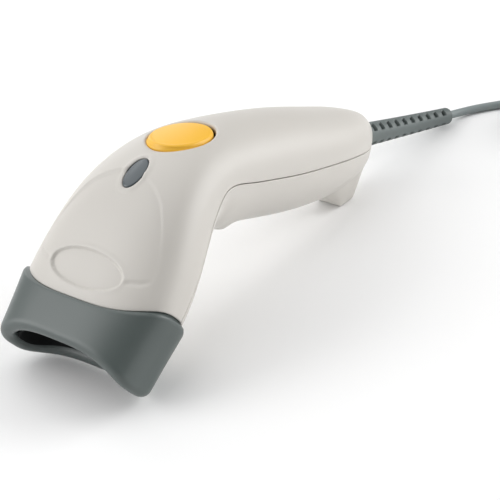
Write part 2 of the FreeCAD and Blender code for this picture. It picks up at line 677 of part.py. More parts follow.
# ---------------------------------------------------------------- everything
def main():
    os.makedirs("parts", exist_ok=True)
    upper, lower = housings()
    save("upper_housing", upper)
    save("lower_housing", lower)
    save("nose_bumper", nose_bumper())
    save("scan_window", window_plate())
    save("window_gasket", window_gasket())
    save("trigger_button", trigger_button())
    save("status_lens", status_lens())
    save("main_board", main_board())
    save("trigger_switch", trigger_switch())
    save("switch_plunger", switch_plunger())
    save("status_led", on_board(-BOARD_LONG / 2 + 4.0, 0, (3.2, 2.6, 1.6)))
    save("beeper", beeper())
    save("decoder_chip", on_board(20.4, -3.6, (9.0, 9.0, 1.2)))
    save("interface_chip", on_board(37.0, 7.4, (6.0, 4.6, 1.2)))
    save("crystal", on_board(20.0, 7.4, (7.0, 3.2, 2.4)))
    save("cable_jack", cable_jack())
    save("modular_plug", modular_plug())
    save("engine_chassis", engine_chassis())
    mirror, magnet, pin = mirror_parts()
    save("scan_mirror", mirror)
    save("mirror_magnet", magnet)
    save("mirror_pin", pin)
    save("drive_coil", drive_coil())
    barrel, lens, can = laser_parts()
    save("laser_barrel", barrel)
    save("laser_lens", lens)
    save("laser_diode", can)
    save("collecting_mirror", collecting_mirror())
    diode, red_filter = photodiode_parts()
    save("photodiode", diode)
    save("red_filter", red_filter)
    save("engine_board", engine_board())
    save("engine_screws", engine_screws())
    save("ribbon_cable", ribbon_cable())
    save("housing_screws", housing_screws())
    save("board_screws", board_screws())
    save("foot_pad", foot_pad())
    save("strain_relief", strain_relief())
    lead, ring, tail = cable_pieces()
    save("cable_lead", lead)
    save("cable_coil", ring)
    save("cable_tail", tail)
    save("cable_tie", cable_tie())
    plug_body, plug_shell, plug_tongue = usb_plug()
    save("usb_plug_body", plug_body)
    save("usb_plug_shell", plug_shell)
    save("usb_plug_tongue", plug_tongue)


main()
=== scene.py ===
"""Looks of a corded handheld barcode scanner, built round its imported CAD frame.

The shapes are worked out in millimetres, +Z up, nose towards -X, cable towards +X, mirror plane Y = 0.
mesh_piece() turns them into metres in the frame's own axes.
"""

import json
from math import cos, pi, radians, sin, tan

import bmesh
import bpy
import numpy as np
from mathutils import Matrix, Vector


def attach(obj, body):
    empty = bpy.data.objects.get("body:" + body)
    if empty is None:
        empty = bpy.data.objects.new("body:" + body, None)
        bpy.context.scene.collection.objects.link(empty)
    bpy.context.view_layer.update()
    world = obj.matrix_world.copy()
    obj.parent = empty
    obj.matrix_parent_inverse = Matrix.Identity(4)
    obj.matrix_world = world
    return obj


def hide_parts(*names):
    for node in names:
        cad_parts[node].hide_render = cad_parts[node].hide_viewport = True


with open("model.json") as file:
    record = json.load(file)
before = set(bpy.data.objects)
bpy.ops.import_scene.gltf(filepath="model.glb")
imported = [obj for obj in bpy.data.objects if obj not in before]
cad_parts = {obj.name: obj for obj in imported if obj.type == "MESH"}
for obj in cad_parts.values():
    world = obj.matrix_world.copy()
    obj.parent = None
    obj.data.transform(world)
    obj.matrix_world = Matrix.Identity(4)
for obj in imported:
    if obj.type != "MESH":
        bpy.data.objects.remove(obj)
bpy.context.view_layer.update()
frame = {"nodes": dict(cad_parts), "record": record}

# ---------------------------------------------------------------- driving dimensions, mm and degrees
MM = 0.001
ORIGIN_X = 0.06         # the frame's origin lies below this x

# The body's spine: x, z, tilt, half height, half width of each station.
BODY = np.array([
    (-78.6, 9.6, 38.0, 13.7, 29.2),
    (-66.2, 18.6, 38.0, 14.3, 30.8),
    (-54.4, 27.7, 38.5, 14.9, 31.4),
    (-43.2, 37.0, 39.0, 15.1, 29.8),
    (-30.7, 45.4, 25.0, 15.6, 26.4),
    (-16.1, 47.9, -1.0, 17.1, 23.0),
    (-1.3, 45.2, -15.0, 17.9, 21.2),
    (12.9, 40.5, -19.5, 18.5, 20.4),
    (27.0, 35.4, -20.0, 18.7, 19.8),
    (41.1, 30.4, -18.5, 18.1, 18.9),
    (55.3, 25.9, -16.5, 16.4, 17.4),
    (69.9, 22.3, -15.0, 13.5, 14.0),
    (75.5, 20.9, -15.5, 11.9, 11.7),
    (80.2, 19.7, -16.0, 9.9, 8.6),
    (82.2, 19.1, -16.0, 8.4, 7.1),
])
HEAD_POWER, HANDLE_POWER = 2.7, 2.35     # superellipse powers of the cross-sections
POWER_BLEND = (-40.0, 10.0)              # the section turns from the head's to the handle's between these x
WALL = 2.0
CELL, MEAN_RADIUS = 0.62, 24             # grid step of the housings' skins, and the radius that it divides
TOUCH = 0.04                             # a grid point this near to a cut counts as on it
END_ROUND, END_HOLE = 1.4, 5.0           # rounding of the handle's end, and the hole for the cable sleeve
END_FLAT, END_STEPS = 0.7, 6             # flattening of that rounding, and its rings

# Parting line of the two housings in the XZ plane.
SEAM = np.array([
    (-95.0, -6.5), (-70.0, 10.6), (-52.5, 23.6), (-42.0, 31.2), (-34.6, 37.0), (-27.6, 42.9),
    (-21.0, 47.3), (-15.3, 49.9), (-10.0, 49.6), (-0.6, 45.8), (8.5, 42.1), (26.6, 35.4),
    (46.5, 29.1), (69.6, 21.8), (95.0, 13.8),
])
SEAM_GAP, SEAM_ROUND = 0.32, 0.25

NOSE, HEAD_TILT = Vector((-78.0, 0.0, 9.0)), 38.0
# The bumper's sections: distance along the head, lift, half height, half width.
BOOT = np.array([(0.0, 0.0, 15.3, 30.1), (14.0, 0.0, 15.6, 31.3), (30.5, 0.1, 15.5, 33.5)])
BOOT_POWER, MOUTH_POWER = 3.0, 3.0
BOOT_JOINT_S, BOOT_JOINT_DIP, BOOT_JOINT_POWER = 20.4, 9.2, 3.3     # its rear edge, see joint_s()
BACK_EDGE, BACK_EDGE_SHARE = 0.5, 14     # rounding of its rear edge, and the part of its length that it takes
LIP_DIP, LIP_POWER, LIP_LEAN, LIP_ROUND = 5.2, 3.2, 1.0, 3.0
MOUTH_HALF, MOUTH_FLARE, FLARE_SHARE = (9.8, 24.3), 0.6, 0.22
# The near-black sheet in the mouth, painted shade: where it starts along the head, its thickness and its gap.
LINER_S, LINER_THICK, LINER_GAP = 2.6, 0.9, 0.05
JOINT_GAP, JOINT_ROUND = 0.08, 0.25
TONGUE_IN, TONGUE_LONG = 0.35, 3.0       # the bumper's tongue reaches in under the housing
WINDOW_S = 22.8
BUMPER_COUNT, OUTSIDE_ROWS, LIP_ROWS, MOUTH_ROWS = 260, 48, 14, 24

# Ovals: place (x, z, tilt), half along, half across.
BADGE = ((-62.1, 38.9, 41.5), 6.8, 16.5)
LENS = ((-33.4, 60.75, 22.4), 6.35, 3.65)
BUTTON = ((-9.6, 64.6, -8.0), 12.4, 11.4)
OVAL_BELOW, FAR = -12, 50                         # an oval's field is FAR everywhere below this height
BUTTON_ROUND, LENS_ROUND = 0.8, 0.35              # rounding of their openings' edges
BADGE_DEPTH, BADGE_SLOPE = 0.95, 0.9
LENS_CROWN, LENS_FALL, LENS_DEEP = 0.5, 0.35, -3.0
BUTTON_SLIDE = -19.0                              # tilt of the plane that the button slides across
BUTTON_GAP, BUTTON_CROWN, BUTTON_DROP = 0.75, 0.6, 1.3
BUTTON_TOP, BUTTON_EDGE, BUTTON_SKIRT, BUTTON_DEEP = 0.9, 1.6, 1.05, -5.5

# The panel's edges as (distance from the mirror plane, x): its arc round the lens, and its foot by the badge.
PANEL_ARC = np.array([
    (0, -32.6), (6.9, -34.2), (11.5, -36.1), (14.0, -37.5), (16.8, -39.6), (18.9, -42.1), (21.4, -45.3),
    (23.2, -48.6), (24.7, -51.9), (25.8, -58.0), (40, -90),
])
PANEL_FOOT = np.array([(0, -63.5), (17.7, -62.3), (22.3, -60.4), (25.1, -58.2), (40, -48)])
PANEL_RIDGE, PANEL_STEP = 0.14, 0.45

FOOT_SOLE, FOOT_HALF_WIDE, FOOT_SLOPES = (62.2, 68.2), 5.4, (1.05, 1.75, 3.0)   # slopes: front, back, sides
FOOT_Z, FOOT_ROUND, FOOT_BLEND = 0.2, 1.8, 2.0
FOOT_FROM = 44                                        # the foot changes nothing in front of this x
RIDGE_X, RIDGE_LONG, RIDGE_HIGH = -8.0, 3.4, 1.7      # ridge for the finger
PINCH_X, PINCH_LONG, PINCH_SHARE = -26.0, 9.0, 0.20   # where the belly's flanks draw in under the bend

# Housing screws: x, y, z of the seam on their axis, tilt, and reach of the head's end below that point.
SCREWS = [(-31.5, -12.4, 41.5, 24.0, 8.2), (-31.5, 12.4, 41.5, 24.0, 8.2), (44.0, 0.0, 28.0, -18.0, 15.0)]
SCREW_HOLE, SCREW_ROUND = 2.8, 0.3
SCREW_HEAD, SCREW_HEAD_HIGH, SCREW_SHANK = 2.4, 1.8, 1.1
SCREW_CROSS = (0.45, 1.3, 0.9)                    # half width, half length and depth of its slots

CABLE_D = 3.2
RELIEF_PATH = [(84.0, 0.0, 18.6), (112.0, 0.0, 9.6), (136.6, -3.6, 3.7)]
RELIEF_RADII = (4.7, 3.35)
SLEEVE_START, SLEEVE_BORE = -9.0, 1.72            # its inner end along its line, and its bore's radius
SLEEVE_TIP, SLEEVE_TIP_ROUND = 1.6, 0.9
SLEEVE_COUNT, SLEEVE_RINGS = 96, 480
SLOT_PITCH, SLOT_LONG, SLOT_DEPTH = 4.95, 2.1, 2.4
SLOT_FIRST, SLOT_LAST, SLOT_EDGE = 3.0, 5.0, 0.3  # plain lengths before and after the slots, and their edges
SLOT_ROW, SLOT_HALF_ANGLE, SLOT_END = 52.0, 23.0, 4.0    # degrees above and below the sleeve's sides
LEAD_POINTS = [
    (143.2, -4.7, 2.25),
    (150.0, -8.2, 1.75),
    (156.8, -14.4, 1.65),
    (164.6, -22.4, 1.7),
    (172.6, -29.5, 2.1),
]
COIL_CENTRE = (164.0, -52.0)
COIL_RADII = [22.4, 19.2, 16.0, 12.8]
COIL_FLOOR = 0.9
COIL_START, COIL_END = 47.0, -5.0
COIL_STEPS = 16
# The tail's points round the coil: angle, radius, height.
TAIL_ANGLES = [
    (-25.0, 24.2, 11.4),
    (-45.0, 27.0, 8.8),
    (-61.0, 30.0, 6.2),
    (-75.4, 32.4, 4.5),
    (-90.2, 33.4, 3.95),
]
PLUG_ANGLE, PLUG_RADIUS, PLUG_Z = -105.0, 32.6, 3.85

CAMERA_PLACE = Vector((-0.37725, -0.38458, 0.32781))
CAMERA_AZIMUTH, CAMERA_ELEVATION, CAMERA_ROLL = -135.54, 30.49, -8.57
CAMERA_LENS = 125.6

FLOOR_SIZE = 6.0                                  # metres, as are the lamps' places and sizes
WALL_AXIS = (0.64, -0.76, 0.0)                    # the room is brighter at both ends of this line
WALL_LIGHT = (0.155, 0.57)
LAMPS = [
    ("top_light", (-0.1, 0.35, 1.2), 1.4, 7.9),
    ("left_light", (-0.9, 0.9, 0.6), 1.0, 10.0),
    ("right_light", (0.9, -0.8, 0.5), 1.0, 12.9),
    ("back_light", (0.5, 1.0, 0.5), 1.0, 4.2),
]


# ---------------------------------------------------------------- camera
def add_camera():
    """Camera in front of the nose on the -Y side, above the scanner and slightly rolled."""
    around, up_angle, roll = radians(CAMERA_AZIMUTH), radians(CAMERA_ELEVATION), radians(CAMERA_ROLL)
    back = Vector((cos(up_angle) * cos(around), cos(up_angle) * sin(around), sin(up_angle)))
    level = Vector((-sin(around), cos(around), 0))
    steep = back.cross(level)
    right = level * cos(roll) + steep * sin(roll)
    turn = Matrix((right, back.cross(right), back)).transposed()
    camera = bpy.data.objects.new("camera", bpy.data.cameras.new("camera"))
    camera.matrix_world = Matrix.Translation(CAMERA_PLACE) @ turn.to_4x4()
    camera.data.lens = CAMERA_LENS
    camera.data.clip_start = 0.01
    bpy.context.collection.objects.link(camera)
    bpy.context.scene.camera = camera


# ---------------------------------------------------------------- cord
def frame_place(point):
    """A point in millimetres, as metres in the frame's axes."""
    x, y, z = point
    return Vector((x - ORIGIN_X, y, z)) * MM


def coil_point(angle, radius, z):
    """A point in millimetres from its angle in degrees and its radius round the coil's middle."""
    return (COIL_CENTRE[0] + radius * cos(radians(angle)), COIL_CENTRE[1] + radius * sin(radians(angle)), z)


def coil_points():
    """Turns side by side in layers, wound clockwise: in and out again, layer by layer, from the bottom."""
    count = len(COIL_RADII)
    seats = []
    for layer in range(count):
        z = COIL_FLOOR + CABLE_D * (layer + 0.5)
        row = COIL_RADII if layer % 2 == 0 else COIL_RADII[::-1]
        seats += [(radius, z) for radius in row]
    seats.append(seats[-1])
    turns = np.arange(len(seats))
    stretch = 1 / cos(pi / COIL_STEPS)      # the curve runs inside its points
    whole = (len(seats) - 1) * 360 - (360 - COIL_START + COIL_END) % 360
    points = []
    for k in range(int(whole / 360 * COIL_STEPS)):
        turn = k / COIL_STEPS
        settled = int(turn) + max(0.0, (turn % 1 - 0.75) / 0.25)
        radius = np.interp(settled, turns, [seat[0] for seat in seats])
        z = np.interp(settled, turns, [seat[1] for seat in seats])
        points.append(coil_point(COIL_START - 360 * turn, radius * stretch, z))
    return points


def nurbs(name, points, radius=0.0):
    """Smooth curve led by points, round and capped when it has a radius."""
    curve = bpy.data.curves.new(name, "CURVE")
    curve.dimensions = "3D"
    spline = curve.splines.new("NURBS")
    spline.points.add(len(points) - 1)
    for spot, point in zip(spline.points, points):
        spot.co = (*frame_place(point), 1)
    spline.order_u = 3
    spline.use_endpoint_u = True
    spline.resolution_u = 6
    curve.bevel_depth = radius * MM
    curve.bevel_resolution = 6
    curve.use_fill_caps = radius > 0
    cord = bpy.data.objects.new(name, curve)
    bpy.context.collection.objects.link(cord)
    return cord


def add_cord(material):
    """The whole cable in one curve: through the sleeve, the lead, the coil and the tail to the plug."""
    tail = [coil_point(*spot) for spot in TAIL_ANGLES] + [coil_point(PLUG_ANGLE, PLUG_RADIUS, PLUG_Z)]
    route = RELIEF_PATH + LEAD_POINTS + coil_points() + tail
    cord = nurbs("interface_cable", route, CABLE_D / 2)
    cord.data.materials.append(material)
    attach(cord, "root")
    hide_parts("cable_lead", "cable_coil", "cable_tail")


# ---------------------------------------------------------------- numbers and fields
def spline(knots, rows, at):
    """Natural cubic curve through the rows of a table."""
    gap = np.diff(knots)
    count = len(knots)
    left, right = np.eye(count), np.zeros_like(rows)
    for k in range(1, count - 1):
        left[k, k - 1:k + 2] = gap[k - 1], 2 * (gap[k - 1] + gap[k]), gap[k]
        right[k] = 6 * ((rows[k + 1] - rows[k]) / gap[k] - (rows[k] - rows[k - 1]) / gap[k - 1])
    bend = np.linalg.solve(left, right)
    k = np.clip(np.searchsorted(knots, at) - 1, 0, count - 2)
    far = ((at - knots[k]) / gap[k])[:, None]
    near = 1 - far
    curve = near * rows[k] + far * rows[k + 1]
    return curve + ((near ** 3 - near) * bend[k] + (far ** 3 - far) * bend[k + 1]) * gap[k][:, None] ** 2 / 6


def soft_step(value):
    """Smooth rise from 0 to 1."""
    value = np.clip(value, 0, 1)
    return value * value * (3 - 2 * value)


def hump(value, middle, width):
    """Smooth hill of height 1."""
    return np.exp(-((value - middle) / width) ** 2)


def local(points, place):
    """Coordinates along, across and out of a tilted place on the mirror plane."""
    x, z, tilt = place
    dx, dz = points[:, 0] - x, points[:, 2] - z
    c, s = cos(radians(tilt)), sin(radians(tilt))
    return dx * c + dz * s, points[:, 1], dz * c - dx * s


def oval_distance(points, place, half_along, half_across):
    """Distance outside an oval, about right near its edge, and large on the other side of the body."""
    a, b, out = local(points, place)
    ratio = np.hypot(a / half_along, b / half_across) + 1e-9
    slope = np.hypot(a / half_along ** 2, b / half_across ** 2) / ratio + 1e-9
    distance = (ratio - 1) / slope
    return np.where(out > OVAL_BELOW, distance, FAR)


def above_seam(points):
    """Distance above the parting line."""
    x = points[:, 0]
    height = spline(SEAM[:, 0], SEAM[:, 1:], x)[:, 0]
    slope = (spline(SEAM[:, 0], SEAM[:, 1:], x + 0.5)[:, 0] - height) / 0.5
    return (points[:, 2] - height) / np.sqrt(1 + slope ** 2)


def joint_s(y):
    """How far along the head the bumper reaches back: further at the sides than in the middle."""
    return BOOT_JOINT_S + BOOT_JOINT_DIP * (np.abs(y) / BOOT[2, 3]) ** BOOT_JOINT_POWER


def behind_joint(points):
    """Distance behind the rear edge of the bumper."""
    s, y, _ = local(points, (NOSE.x, NOSE.z, HEAD_TILT))
    slope = (joint_s(np.abs(y) + 0.5) - joint_s(y)) / 0.5
    return (s - joint_s(y)) / np.sqrt(1 + slope ** 2)


# ---------------------------------------------------------------- meshes
def mesh_piece(name, points, faces, material, body="root"):
    """Object from points in millimetres."""
    mesh = bpy.data.meshes.new(name)
    places = (np.asarray(points) - (ORIGIN_X, 0, 0)) * MM
    mesh.from_pydata(places.tolist(), [], faces)
    mesh.validate()
    mesh.polygons.foreach_set("use_smooth", [True] * len(mesh.polygons))
    mesh.materials.append(material)
    piece = bpy.data.objects.new(name, mesh)
    bpy.context.collection.objects.link(piece)
    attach(piece, body)
    return piece


def grid_faces(rows, columns, closed_rows=False):
    """Four-sided faces of rings of points, with the last ring joined to the first if asked."""
    faces = []
    for i in range(rows if closed_rows else rows - 1):
        below = (i + 1) % rows
        for j in range(columns):
            after = (j + 1) % columns
            faces.append((i * columns + j, i * columns + after, below * columns + after, below * columns + j))
    return faces


def oval_ring(high, wide, power, count):
    """Evenly spaced points (across, up) of a superellipse."""
    angle = np.linspace(0, 2 * pi, 721)
    c, s = np.cos(angle), np.sin(angle)
    across = wide * np.sign(c) * np.abs(c) ** (2 / power)
    up = high * np.sign(s) * np.abs(s) ** (2 / power)
    length = np.concatenate([[0], np.cumsum(np.hypot(np.diff(across), np.diff(up)))])
    at = np.arange(count) * length[-1] / count
    return np.interp(at, length, across), np.interp(at, length, up)


def ring_at(x, z, tilt, high, wide, count, power):
    """Section of the body in its tilted plane."""
    across, up = oval_ring(high, wide, power, count)
    c, s = cos(radians(tilt)), sin(radians(tilt))
    return np.stack([x - s * up, across, z + c * up], axis=1)


def positions(bm):
    """All points of a mesh, as an array."""
    return np.array([v.co for v in bm.verts])


def body_skin():
    """Open tube of the whole housing, with a rounded end round the cable sleeve."""
    knots = np.concatenate([[0], np.cumsum(np.hypot(np.diff(BODY[:, 0]), np.diff(BODY[:, 1])))])
    along = np.linspace(0, knots[-1], int(knots[-1] / CELL))
    count = int(2 * pi * MEAN_RADIUS / CELL)
    rings = []
    for x, z, tilt, high, wide in spline(knots, BODY, along):
        blend = min(1.0, max(0.0, (x - POWER_BLEND[0]) / (POWER_BLEND[1] - POWER_BLEND[0])))
        power = HEAD_POWER + (HANDLE_POWER - HEAD_POWER) * blend
        rings.append(ring_at(x, z, tilt, high, wide, count, power))
    x, z, tilt, high, wide = BODY[-1]
    for k in range(1, END_STEPS + 1):
        turn = k / END_STEPS * pi / 2
        inset, reach = END_ROUND * (1 - cos(turn)), END_ROUND * END_FLAT * sin(turn)
        dx, dz = reach * cos(radians(tilt)), reach * sin(radians(tilt))
        rings.append(ring_at(x + dx, z + dz, tilt, high - inset, wide - inset, count, HANDLE_POWER))
    rings.append(ring_at(x + dx, z + dz, tilt, END_HOLE, END_HOLE, count, 2.0))
    bm = bmesh.new()
    verts = [bm.verts.new(point) for point in np.concatenate(rings)]
    for face in grid_faces(len(rings), count):
        bm.faces.new([verts[k] for k in face])
    return bm


def score(bm, field):
    """Cuts a line into the skin where the field is zero."""
    value = dict(zip(bm.verts, field(positions(bm))))
    for vert, amount in value.items():
        if abs(amount) < TOUCH:
            value[vert] = 0.0
    for edge in list(bm.edges):
        a, b = edge.verts
        if value[a] * value[b] < 0:
            _, fresh = bmesh.utils.edge_split(edge, a, value[a] / (value[a] - value[b]))
            value[fresh] = 0.0
    for face in list(bm.faces):
        crossed = [v for v in face.verts if value[v] == 0.0]
        if len(crossed) == 2 and crossed[1] not in [e.other_vert(crossed[0]) for e in crossed[0].link_edges]:
            bmesh.utils.face_split(face, crossed[0], crossed[1])
    return value


def carve(bm, field):
    """Takes away the skin where the field is negative."""
    value = score(bm, field)
    bmesh.ops.delete(bm, geom=[v for v in bm.verts if value.get(v, 0.0) < 0], context="VERTS")


def lift(bm, height):
    """Moves the skin along its normals by a height worked out from its points."""
    bm.normal_update()
    for vert, amount in zip(bm.verts, height(positions(bm))):
        vert.co += vert.normal * amount


def wall_from(bm, openings, steps=3):
    """Points and faces of a closed wall under the skin, with a rounded edge at each opening."""
    bm.normal_update()
    bm.verts.index_update()
    points = positions(bm)
    normals = np.array([v.normal for v in bm.verts])
    away = np.zeros_like(points)
    border = []
    faces = []
    for face in bm.faces:
        faces.append([v.index for v in face.verts])
        for loop in face.loops:
            if loop.edge.is_boundary:
                a, b = loop.vert, loop.link_loop_next.vert
                out = (b.co - a.co).normalized().cross(face.normal)
                away[a.index] += out
                away[b.index] += out
                border.append((a.index, b.index))
    rim = sorted({index for edge in border for index in edge})
    away = away[rim] / np.linalg.norm(away[rim], axis=1)[:, None]
    near = np.array([np.abs(field(points[rim]) - radius) for field, radius in openings])
    radius = np.array([radius for _, radius in openings])[near.argmin(axis=0)][:, None]
    total = len(points)
    rings = []
    for k in range(1, steps + 1):
        turn = k / steps * pi / 2
        rings.append(points[rim] + away * radius * sin(turn) - normals[rim] * radius * (1 - cos(turn)))
    rings.append(points[rim] + away * radius - normals[rim] * WALL)
    inside = points - normals * WALL
    place = {index: k for k, index in enumerate(rim)}
    chains = [{index: index for index in rim}]
    for k in range(len(rings)):
        chains.append({index: 2 * total + k * len(rim) + place[index] for index in rim})
    chains.append({index: total + index for index in rim})
    closed = faces + [[total + index for index in reversed(face)] for face in faces]
    for first, second in zip(chains, chains[1:]):
        for a, b in border:
            closed.append([first[b], first[a], second[a], second[b]])
    return np.concatenate([points, inside] + rings), closed


# ---------------------------------------------------------------- housings
def badge_field(points):
    return oval_distance(points, *BADGE)


def lens_field(points):
    return oval_distance(points, *LENS)


def button_field(points):
    (x, z, _), half_along, half_across = BUTTON
    return oval_distance(points, (x, z, BUTTON_SLIDE), half_along, half_across)


def top_relief(points):
    """Heights of the badge's hollow and rim, the lens's rim, and the shield-shaped panel with its foot."""
    x, y = points[:, 0], np.abs(points[:, 1])
    upper = points[:, 2] > np.interp(x, BODY[:, 0], BODY[:, 1])
    badge = -BADGE_DEPTH * soft_step(-badge_field(points) / BADGE_SLOPE)
    badge_rim = 0.14 * hump(badge_field(points), 0.5, 0.6)
    lens_rim = 0.34 * hump(lens_field(points), 1.0, 0.7)
    inside = np.interp(y, PANEL_ARC[:, 0], PANEL_ARC[:, 1]) - x
    fade = 0.25 + 0.75 * soft_step((x + 53) / 12)               # the panel's edge is faint near the badge
    step = PANEL_RIDGE * hump(inside, -0.3, 0.5) - PANEL_STEP * soft_step(inside / 0.9)
    panel = step * fade * soft_step((x + 62) / 6)
    foot = x - np.interp(y, PANEL_FOOT[:, 0], PANEL_FOOT[:, 1])
    groove = -0.36 * hump(foot, 0.0, 0.5) * soft_step((y - 16.5) / 2) * soft_step((26 - y) / 3)
    return np.where(upper & (x < 0), badge + badge_rim + lens_rim + panel + groove, 0.0)


def upper_housing(material):
    """Top shell with its button and lens openings, and its relief."""
    openings = [
        (above_seam, SEAM_ROUND),
        (behind_joint, JOINT_ROUND),
        (button_field, BUTTON_ROUND),
        (lens_field, LENS_ROUND),
    ]
    bm = body_skin()
    for field, radius in openings:
        carve(bm, lambda points: field(points) - radius)
    score(bm, badge_field)
    score(bm, lambda points: badge_field(points) + BADGE_SLOPE)
    lift(bm, top_relief)
    points, faces = wall_from(bm, openings)
    shell = mesh_piece("upper_shell", points, faces, material)
    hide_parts("upper_housing")


def below_seam(points):
    """Distance below the parting line, less the gap."""
    return -above_seam(points) - SEAM_GAP


def soft_min(a, b, blend):
    """The lower of two heights, with a rounded change from one to the other."""
    share = np.clip(0.5 + 0.5 * (b - a) / blend, 0, 1)
    return b * (1 - share) + a * share - blend * share * (1 - share)


def shape_belly(bm):
    """Pulls the rear foot and the ridge for the finger out of the belly, and draws its flanks in."""
    points = positions(bm)
    x, y, z = points.T
    outside = (FOOT_SOLE[0] - x, x - FOOT_SOLE[1], np.abs(y) - FOOT_HALF_WIDE)
    rise = [np.maximum(gap * slope, 0) ** 2 for gap, slope in zip(outside, FOOT_SLOPES)]
    reach = np.sqrt(rise[0] + rise[1] + rise[2] + FOOT_ROUND ** 2)
    foot = soft_min(z, FOOT_Z - FOOT_ROUND + reach, FOOT_BLEND)
    ridge = RIDGE_HIGH * hump(x, RIDGE_X, RIDGE_LONG) * soft_step((16 - np.abs(y)) / 6)
    depth = -above_seam(points)
    pinch = 1 - PINCH_SHARE * hump(x, PINCH_X, PINCH_LONG) * soft_step((depth - 0.5) / 8)
    belly = z < np.interp(x, BODY[:, 0], BODY[:, 1]) - 5
    low = np.where(belly & (x > FOOT_FROM), np.minimum(foot, z), z)
    low = np.where(belly & (x < 0), low - ridge, low)
    for vert, height, share in zip(bm.verts, low, pinch):
        vert.co.z = height
        vert.co.y *= share


def screw_field(points):
    """Distance outside the nearest screw hole in the belly."""
    distances = []
    for x, y, z, tilt, _ in SCREWS:
        along, across, out = local(points, (x, z, tilt))
        distances.append(np.where(out < 0, np.hypot(along, across - y) - SCREW_HOLE, FAR))
    return np.min(distances, axis=0)


def lower_housing(material):
    """Belly shell with its foot, ridge and screw holes."""
    openings = [
        (below_seam, SEAM_ROUND),
        (behind_joint, JOINT_ROUND),
        (screw_field, SCREW_ROUND),
    ]
    bm = body_skin()
    shape_belly(bm)
    for field, radius in openings:
        carve(bm, lambda points: field(points) - radius)
    points, faces = wall_from(bm, openings)
    shell = mesh_piece("lower_shell", points, faces, material)
    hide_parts("lower_housing")


def slot_depth(u, v):
    """Depth of one of the screw's slots, which runs along v."""
    half_wide, half_long, depth = SCREW_CROSS
    return depth * soft_step((half_wide - np.abs(u)) / 0.2) * soft_step((half_long - np.abs(v)) / 0.2)


def housing_screws(material):
    """Cross-slotted screws, sunk in the belly's holes."""
    count = 96
    angle = np.linspace(0, 2 * pi, count, endpoint=False)
    points, faces = [], []
    for x, y, z, tilt, reach in SCREWS:
        top = SCREW_HEAD_HIGH - reach
        first = sum(len(row) for row in points)
        rings = [(radius, -reach) for radius in np.linspace(0.02, SCREW_HEAD, 24)]
        rings += [(SCREW_HEAD, top), (SCREW_SHANK, top), (SCREW_SHANK, 5.0)]
        for radius, out in rings:
            u, v = radius * np.cos(angle), radius * np.sin(angle)
            if out == -reach:
                out = np.maximum(slot_depth(u, v), slot_depth(v, u)) - reach
            c, s = cos(radians(tilt)), sin(radians(tilt))
            points.append(np.stack([x + u * c - out * s, y + v, z + u * s + out * c], axis=1))
        last = first + (len(rings) - 1) * count
        faces += [tuple(first + k for k in face) for face in grid_faces(len(rings), count)]
        faces += [tuple(range(first + count - 1, first - 1, -1)), tuple(range(last, last + count))]
    screws = mesh_piece("belly_screws", np.concatenate(points), faces, material)
    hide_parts("housing_screws")


# ---------------------------------------------------------------- bumper
def head_points(s, y, v):
    """Points from distances along the head, across it and out of it."""
    c, k = cos(radians(HEAD_TILT)), sin(radians(HEAD_TILT))
    return np.stack([NOSE.x + s * c - v * k, y, NOSE.z + s * k + v * c], axis=1)


def boot_section(s, across, up):
    """Outer points of the bumper at a distance along the head for each column of a unit section."""
    table = spline(BOOT[:, 0], BOOT[:, 1:], np.clip(s, 0, BOOT[-1, 0]))
    return across * table[:, 2], table[:, 0] + up * table[:, 1]


def tongue_section(s, across, up):
    """Points just inside the housing's front at a distance along the head for each column."""
    x, z, _, half_high, half_wide = BODY[:4].T
    at, _, rise = local(np.stack([x, np.zeros(4), z], axis=1), (NOSE.x, NOSE.z, HEAD_TILT))
    high, wide = np.interp(s, at, half_high), np.interp(s, at, half_wide)
    return across * (wide - TONGUE_IN), np.interp(s, at, rise) + up * (high - TONGUE_IN)


def nose_bumper(material):
    """Soft sleeve round the mouth: outside, rounded lip, mouth and back edge in one closed skin."""
    count = BUMPER_COUNT
    across, up = oval_ring(1.0, 1.0, BOOT_POWER, count)
    mouth_y, mouth_v = oval_ring(1.0, 1.0, MOUTH_POWER, count)
    y0, v0 = boot_section(np.zeros(count), across, up)
    back = joint_s(y0) - JOINT_GAP
    front = LIP_DIP * (1 - (np.abs(y0) / BOOT[0, 3]) ** LIP_POWER) + v0 * tan(radians(LIP_LEAN))
    tongue = oval_ring(1.0, 1.0, HEAD_POWER, count)
    rows = [head_points(s, *tongue_section(s, *tongue)) for s in (back + TONGUE_LONG, back)]
    for k in range(OUTSIDE_ROWS):
        share = k / (OUTSIDE_ROWS - 1)
        s = back + (front + LIP_ROUND - back) * share
        y, v = boot_section(s, across, up)
        edge = BACK_EDGE * max(0.0, 1 - share * BACK_EDGE_SHARE) ** 2
        rows.append(head_points(s, y * (1 - edge / 30), v * (1 - edge / 15)))
    y1, v1 = boot_section(front + LIP_ROUND, across, up)
    lip_y, lip_v = mouth_y * (MOUTH_HALF[1] + MOUTH_FLARE), mouth_v * (MOUTH_HALF[0] + MOUTH_FLARE)
    for k in range(1, LIP_ROWS + 1):
        turn = k / LIP_ROWS * pi
        share = (1 - cos(turn)) / 2
        s = front + LIP_ROUND * (1 - sin(turn))
        rows.append(head_points(s, y1 + (lip_y - y1) * share, v1 + (lip_v - v1) * share))
    for k in range(1, MOUTH_ROWS + 1):
        depth = k / MOUTH_ROWS
        s = front + LIP_ROUND + (WINDOW_S - front - LIP_ROUND) * depth
        flare = MOUTH_FLARE * (1 - soft_step(depth / FLARE_SHARE))
        rows.append(head_points(s, mouth_y * (MOUTH_HALF[1] + flare), mouth_v * (MOUTH_HALF[0] + flare)))
    points = np.concatenate(rows)
    points[:, 2] = np.maximum(points[:, 2], 0.0)
    faces = [tuple(reversed(face)) for face in grid_faces(len(rows), count, closed_rows=True)]
    boot = mesh_piece("bumper_boot", points, faces, material)
    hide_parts("nose_bumper")


